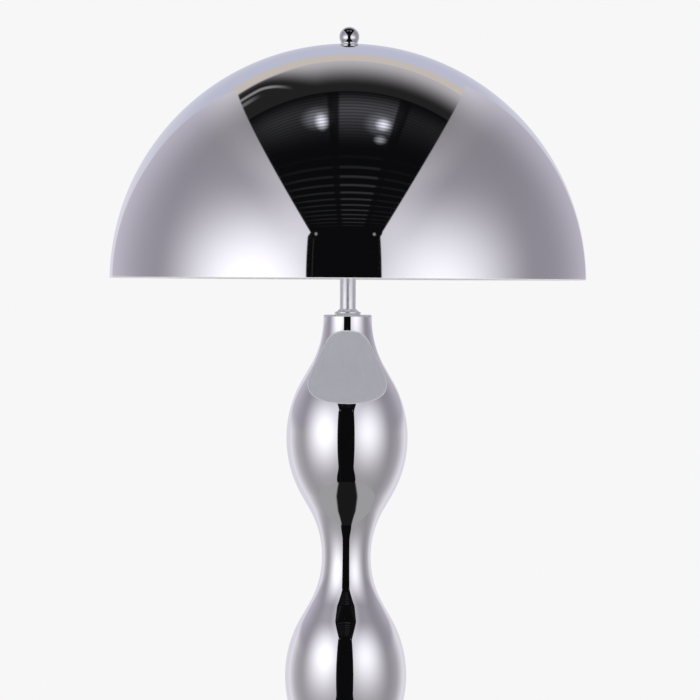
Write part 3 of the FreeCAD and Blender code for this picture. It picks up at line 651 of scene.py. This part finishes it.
def panels(tree, turn, rise, from_gap):
    """White panels on both sides, each lit round one spot in front and paler towards the rear."""
    right = turn.fade(-8.0, 8.0)
    below = rise.fade(2.0, -8.0)
    aside = abs(turn - 2.0)
    level = 0.316 - rise.fade(8.0, 52.0) * 0.045
    level = level + (aside + below * 12.0).fade(96.0, 150.0) * 0.20
    level = level + below * aside.fade(105.0, 146.0) * 0.33
    spot = abs(abs(turn) - PANEL_SPOT + right * 3.0).fade(SPOT_REACH, 0.0)
    glow = spot * (abs(rise + 2.5).fade(45.0, 0.0) * 0.85 + 0.06)
    edge = from_gap.fade(0.26, -0.05) * rise.fade(8.0, 25.0) * rise.fade(60.0, 40.0) * 0.155
    tint = tree.mix(greatest(below, rise.fade(35.0, 60.0)), grey(1.0, (0.985, 0.93, 1.08)),
                    grey(1.0, (1.0, 0.965, 1.03)))
    base = tree.shine(level * (1.0 - right * 0.07), tint)
    base = tree.shine(glow * (1.0 - right * 0.16), grey(1.0, (1.0, 1.0, 1.03)), base)
    return tree.shine(edge, grey(1.0, (1.02, 1.0, 1.0)), base)


def ceiling(tree, aside, along):
    """Dark ceiling in three bays parted by two beams, ribbed, with soft round lights in it.

    Nearer the front its ribs are slats, further apart.
    """
    def soft_light(centre, stretch, size, strength):
        from_centre = length(aside - centre[0], (along - centre[1]) * stretch)
        return from_centre.fade(size, 0.0) * strength

    ribs = ripple(along, RIB) * 0.5 + 0.5
    slats = ripple(along, SLAT).fade(0.70, 1.0) * along.fade(-0.60, -1.15) * 0.030
    slats = slats * along.fade(-2.45, -2.00)
    bays = 0.45 + aside.fade(-0.12, -0.06) * 0.55 - aside.fade(0.28, 0.36) * 0.80
    bays = bays * aside.fade(-0.90, -0.40)
    beams = (abs(aside - BEAM_LEFT - along * 0.030).fade(0.022, 0.042)
             * abs(aside - BEAM_RIGHT).fade(0.025, 0.045) * 0.85 + 0.15)
    near = along.fade(-0.68, -0.12)
    lit = near * near * along.fade(0.09, -0.15) * 0.070
    lights = (soft_light((-0.170, -0.265), 0.45, 0.055, 0.85)
              + soft_light((-0.190, -0.22), 0.80, 0.130, 0.20)
              + soft_light((0.220, -0.285), 0.70, 0.065, 0.85)
              + soft_light((0.205, -0.285), 0.80, 0.130, 0.18)
              + soft_light((0.222, -0.460), 0.90, 0.060, 0.35))
    light = 0.0035 + (lit * bays + lights) * ribs * beams + slats * bays * beams
    return tree.shine(light, grey(1.0, (0.97, 0.98, 1.10)))


def room(tree, x, y, z, turn, rise):
    """What shows in the gap: the ceiling, then behind it a grey slope, a band and a backdrop.

    On the left the dark edge of the slope climbs, with pale streaks across it.  Low in the gap
    are a thin upright line and a small glint at each side.
    """
    height = greatest(z, 0.05)
    aside = x / height
    along = y / height
    backdrop = tree.mix(rise.fade(40.0, 4.0), (0.505, 0.520, 0.636, 1.0),
                        (0.700, 0.692, 0.770, 1.0))
    climb = aside.fade(-0.14, -0.48) * 0.34
    climbed = along - climb * along.fade(SLOPE_TOP, SLOPE_TOP - 0.06)
    slope = tree.mix(climbed.fade(0.15, SLOPE_TOP), grey(0.016), grey(0.46, (1.0, 0.95, 1.0)))
    slope = tree.mix(climbed.fade(SLOPE_TOP - 0.01, SLOPE_TOP), slope,
                     grey(0.57, (1.0, 0.91, 0.82)))
    streak = abs(along - climb - 0.085).fade(0.040, 0.010) * aside.fade(-0.28, -0.42) * 0.22
    streak = streak + abs(along - climb + 0.02).fade(0.050, 0.010) * aside.fade(-0.46, -0.58) * 0.12
    slope = tree.shine(streak, grey(1.0), slope)
    behind = tree.mix(along.fade(BAND_TOP - 0.01, BAND_TOP + 0.01), slope, backdrop)
    upright = abs(turn + 15.0).fade(0.30, 0.05) * rise.fade(19.0, 17.0) * 0.02
    glint = length(abs(turn + 1.3) - GLINT_TURN, rise - GLINT_RISE).fade(0.9, 0.3) * 0.25
    overhead = tree.shine(upright + glint, grey(1.0), ceiling(tree, aside, along))
    return tree.mix(along.fade(CEILING_BACK - 0.007, CEILING_BACK + 0.007), overhead, behind)


def studio_light(height):
    """Surroundings that only the polished metal sees, laid out round a point of the axis.

    The panels leave a gap: a slit at the front below, a wedge above, which is as wide as its
    height, and the rear.  In the gap stands the room.
    """
    tree = material("studio_light")
    x, y, z = tree.place()
    z = z - height
    size = length(x, y, z)
    x, y, z = x / size, y / size, z / size
    turn = x.math("ARCTAN2", -y) * DEGREES
    rise = z.math("ARCSINE") * DEGREES
    slit = rise.fade(-34.0, -48.0) * SLIT_SPREAD + SLIT_HALF
    ahead = -y * slit
    above = z * WEDGE_SLOPE - y * WEDGE_FORWARD
    beside = abs(x + z * 0.0037 - y * (rise.fade(20.5, 18.5) * 0.019 + 0.0132))
    from_gap = beside - greatest(ahead, above)
    gap = from_gap.fade(GAP_EDGE, -GAP_EDGE)
    from_rear = abs(turn - 4.5) + rise.fade(2.0, -8.0) * 12.0 - rise.fade(22.0, 0.0) * 6.0
    open_side = greatest(gap, from_rear.fade(REAR_OPEN, REAR_OPEN + 2.0))
    colour = tree.mix(open_side, panels(tree, turn, rise, from_gap),
                      room(tree, x, y, z, turn, rise))
    return tree.finish(tree.add("Emission", None, {"Color": colour, "Strength": 1.0}))


def floor_finish():
    """Pale floor; the metal sees it grey between the panels, with the dark gap to the front.

    From underneath it is clear, so that the lamp can be looked at from below.
    """
    tree = material("floor")
    x, y, z = tree.place()
    path = tree.add("LightPath", output="Is Glossy Ray")
    strip = abs(x - 0.01).fade(*FLOOR_GAP) * y.fade(0.0, -0.12)
    seen = tree.mix(strip, grey(0.345, (1.0, 0.985, 1.01)), grey(0.010))
    bright = tree.add("Emission", None, {"Color": seen})
    dust = tree.add("TexNoise", None, {"Scale": 3.0, "Detail": 5.0})
    soft = tree.add("BsdfDiffuse", None, {
        "Color": tree.mix(dust, grey(BACKGROUND - 0.01), grey(BACKGROUND + 0.01))})
    below = greatest(tree.add("NewGeometry", output="Backfacing"), z.fade(-0.002, -0.004))
    away = greatest(length(x, y).fade(*FLOOR_FADE), below)
    surface = tree.blend(path, soft, bright)
    return tree.finish(tree.blend(away, surface, tree.add("BsdfTransparent")))


def make_stage():
    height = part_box("shade_shell")[0].z - SHADE_TRIM
    under = -STAGE_THICKNESS
    floor = lathe("floor", [(0, under), (FLOOR_RADIUS, under), (FLOOR_RADIUS, 0), (0, 0)],
                  floor_finish(), 96)
    outer = STUDIO_RADIUS + STAGE_THICKNESS
    studio = lathe("studio", trace([
        (outer, STUDIO_FOOT), (outer, height), Bend(outer, 1, 40), (0.0, height + outer),
        (0.0, height + STUDIO_RADIUS), Bend(STUDIO_RADIUS, -1, 40), (STUDIO_RADIUS, height),
        (STUDIO_RADIUS, STUDIO_FOOT),
    ]), studio_light(height), 128)
    studio.visible_camera = False
    studio.visible_diffuse = False
    studio.visible_shadow = False
    studio.visible_transmission = False


def make_world():
    world = bpy.data.worlds.new("surroundings")
    bpy.context.scene.world = world
    tree = Tree(world)
    ray = tree.add("LightPath", output="Is Camera Ray")
    seen = tree.mix(ray, grey(WORLD_LIGHT), grey(BACKGROUND))
    tree.finish(tree.add("Background", None, {"Color": seen}))


def make_camera():
    data = bpy.data.cameras.new("camera")
    camera = bpy.data.objects.new("camera", data)
    bpy.context.scene.collection.objects.link(camera)
    bpy.context.scene.camera = camera
    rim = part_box("shade_shell")[0].z
    target = Vector((PICTURE_ASIDE, 0, rim - PICTURE_BELOW_RIM))
    spot = Vector((PICTURE_ASIDE, -CAMERA_DISTANCE, rim - CAMERA_BELOW_RIM))
    aimed = (target - spot).to_track_quat("-Z", "Y").to_matrix()
    camera.rotation_euler = (aimed @ Matrix.Rotation(CAMERA_ROLL, 3, "Z")).to_euler()
    camera.location = spot
    data.sensor_width = SENSOR * 1000
    data.lens = SENSOR * 1000 * CAMERA_DISTANCE / PICTURE_WIDTH
    data.clip_end = 50


def dress_nodes():
    """Give every CAD node that still shows the finish of its material slot."""
    for part in frame["record"]["subparts"]:
        mesh = frame["nodes"][part["node"]].data
        mesh.materials.clear()
        mesh.materials.append(finishes[part["material_slot"]])


metal = chrome("polished_chrome", MIRROR)
drawn_metal = chrome("drawn_chrome", DRAWN)
finishes = {
    "polished_chrome": metal,
    "zinc_steel": plain("zinc_steel", (0.62, 0.62, 0.60), 0.35, metallic=1.0),
    "white_steel": plain("white_steel", (0.80, 0.80, 0.79), 0.4),
    "cast_iron": plain("cast_iron", (0.05, 0.05, 0.052), 0.75, grain=4e-4),
    "black_foam": plain("black_foam", (0.02, 0.02, 0.02), 0.95, grain=3e-4, scale=1500.0),
    "black_plastic": plain("black_plastic", (0.02, 0.02, 0.022), 0.45),
    "white_plastic": plain("white_plastic", (0.82, 0.82, 0.80), 0.4),
    "brass": plain("brass", (0.80, 0.60, 0.26), 0.25, metallic=1.0),
    "socket_shell": plain("socket_shell", (0.78, 0.72, 0.55), 0.3, metallic=1.0),
    "ceramic": plain("ceramic", (0.85, 0.84, 0.80), 0.3),
    "opal_glass": plain("opal_glass", (0.90, 0.90, 0.88), 0.15, coat=0.5),
    "wire_sleeve": plain("wire_sleeve", (0.75, 0.75, 0.73), 0.5),
}
bpy.context.scene.view_settings.view_transform = "Standard"
make_camera()
make_world()
make_stage()
dress_nodes()
make_shade()
make_finial()
make_column()
make_neck()
make_base()
make_bulbs()
